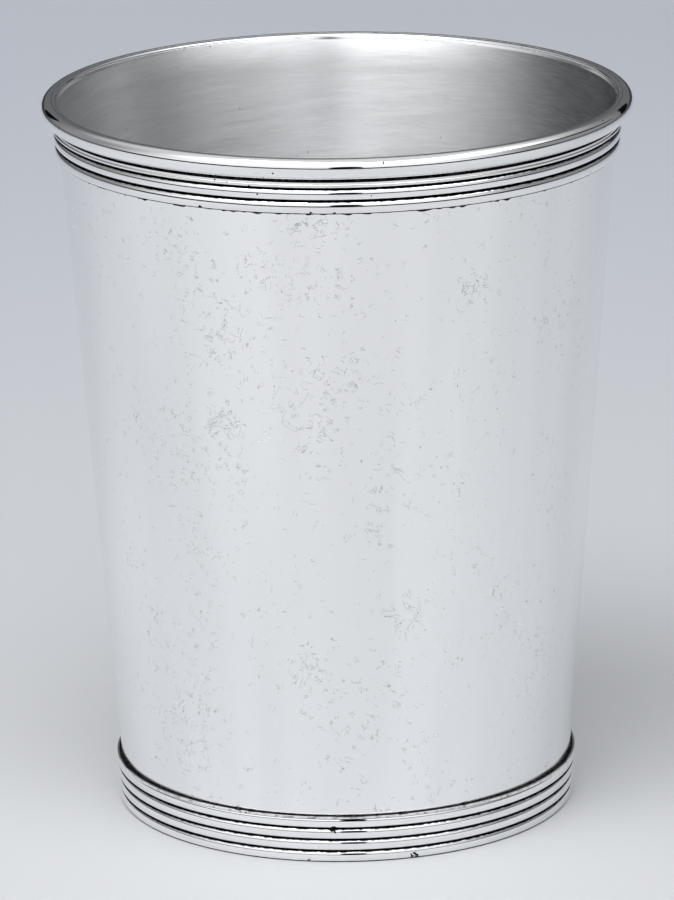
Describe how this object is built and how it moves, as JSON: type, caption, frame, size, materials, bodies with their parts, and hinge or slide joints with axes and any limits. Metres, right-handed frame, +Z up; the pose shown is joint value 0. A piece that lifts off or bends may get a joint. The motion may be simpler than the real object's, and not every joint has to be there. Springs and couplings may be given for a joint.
{
  "type": "julep cup",
  "caption": "Tapered silver drinking cup with a heavy rounded lip, a reeded band under the lip, a reeded band round the foot and a recessed base.",
  "frame": {"origin": "middle of the circle that the foot stands on", "axes": "+Z up along the cup's axis towards its mouth; the cup is round, so +X and +Y are any two square directions"},
  "size_m": [0.0796, 0.0796, 0.0984],
  "materials": {
    "silver_sheet": "polished outside with fine hairline scratches, satin with level brush lines inside",
    "silver_moulding": "bright polish on the crests, dark tarnish left in the grooves",
    "silver_solder": "dull grey seam, pitted in places"
  },
  "bodies": {
    "root": {"body_wall": "silver_sheet", "base_disc": "silver_sheet", "lip_wire": "silver_moulding", "rim_band": "silver_moulding", "foot_band": "silver_moulding", "lip_solder": "silver_solder", "rim_solder": "silver_solder", "foot_solder": "silver_solder", "base_solder": "silver_solder"}
  },
  "joints": []
}
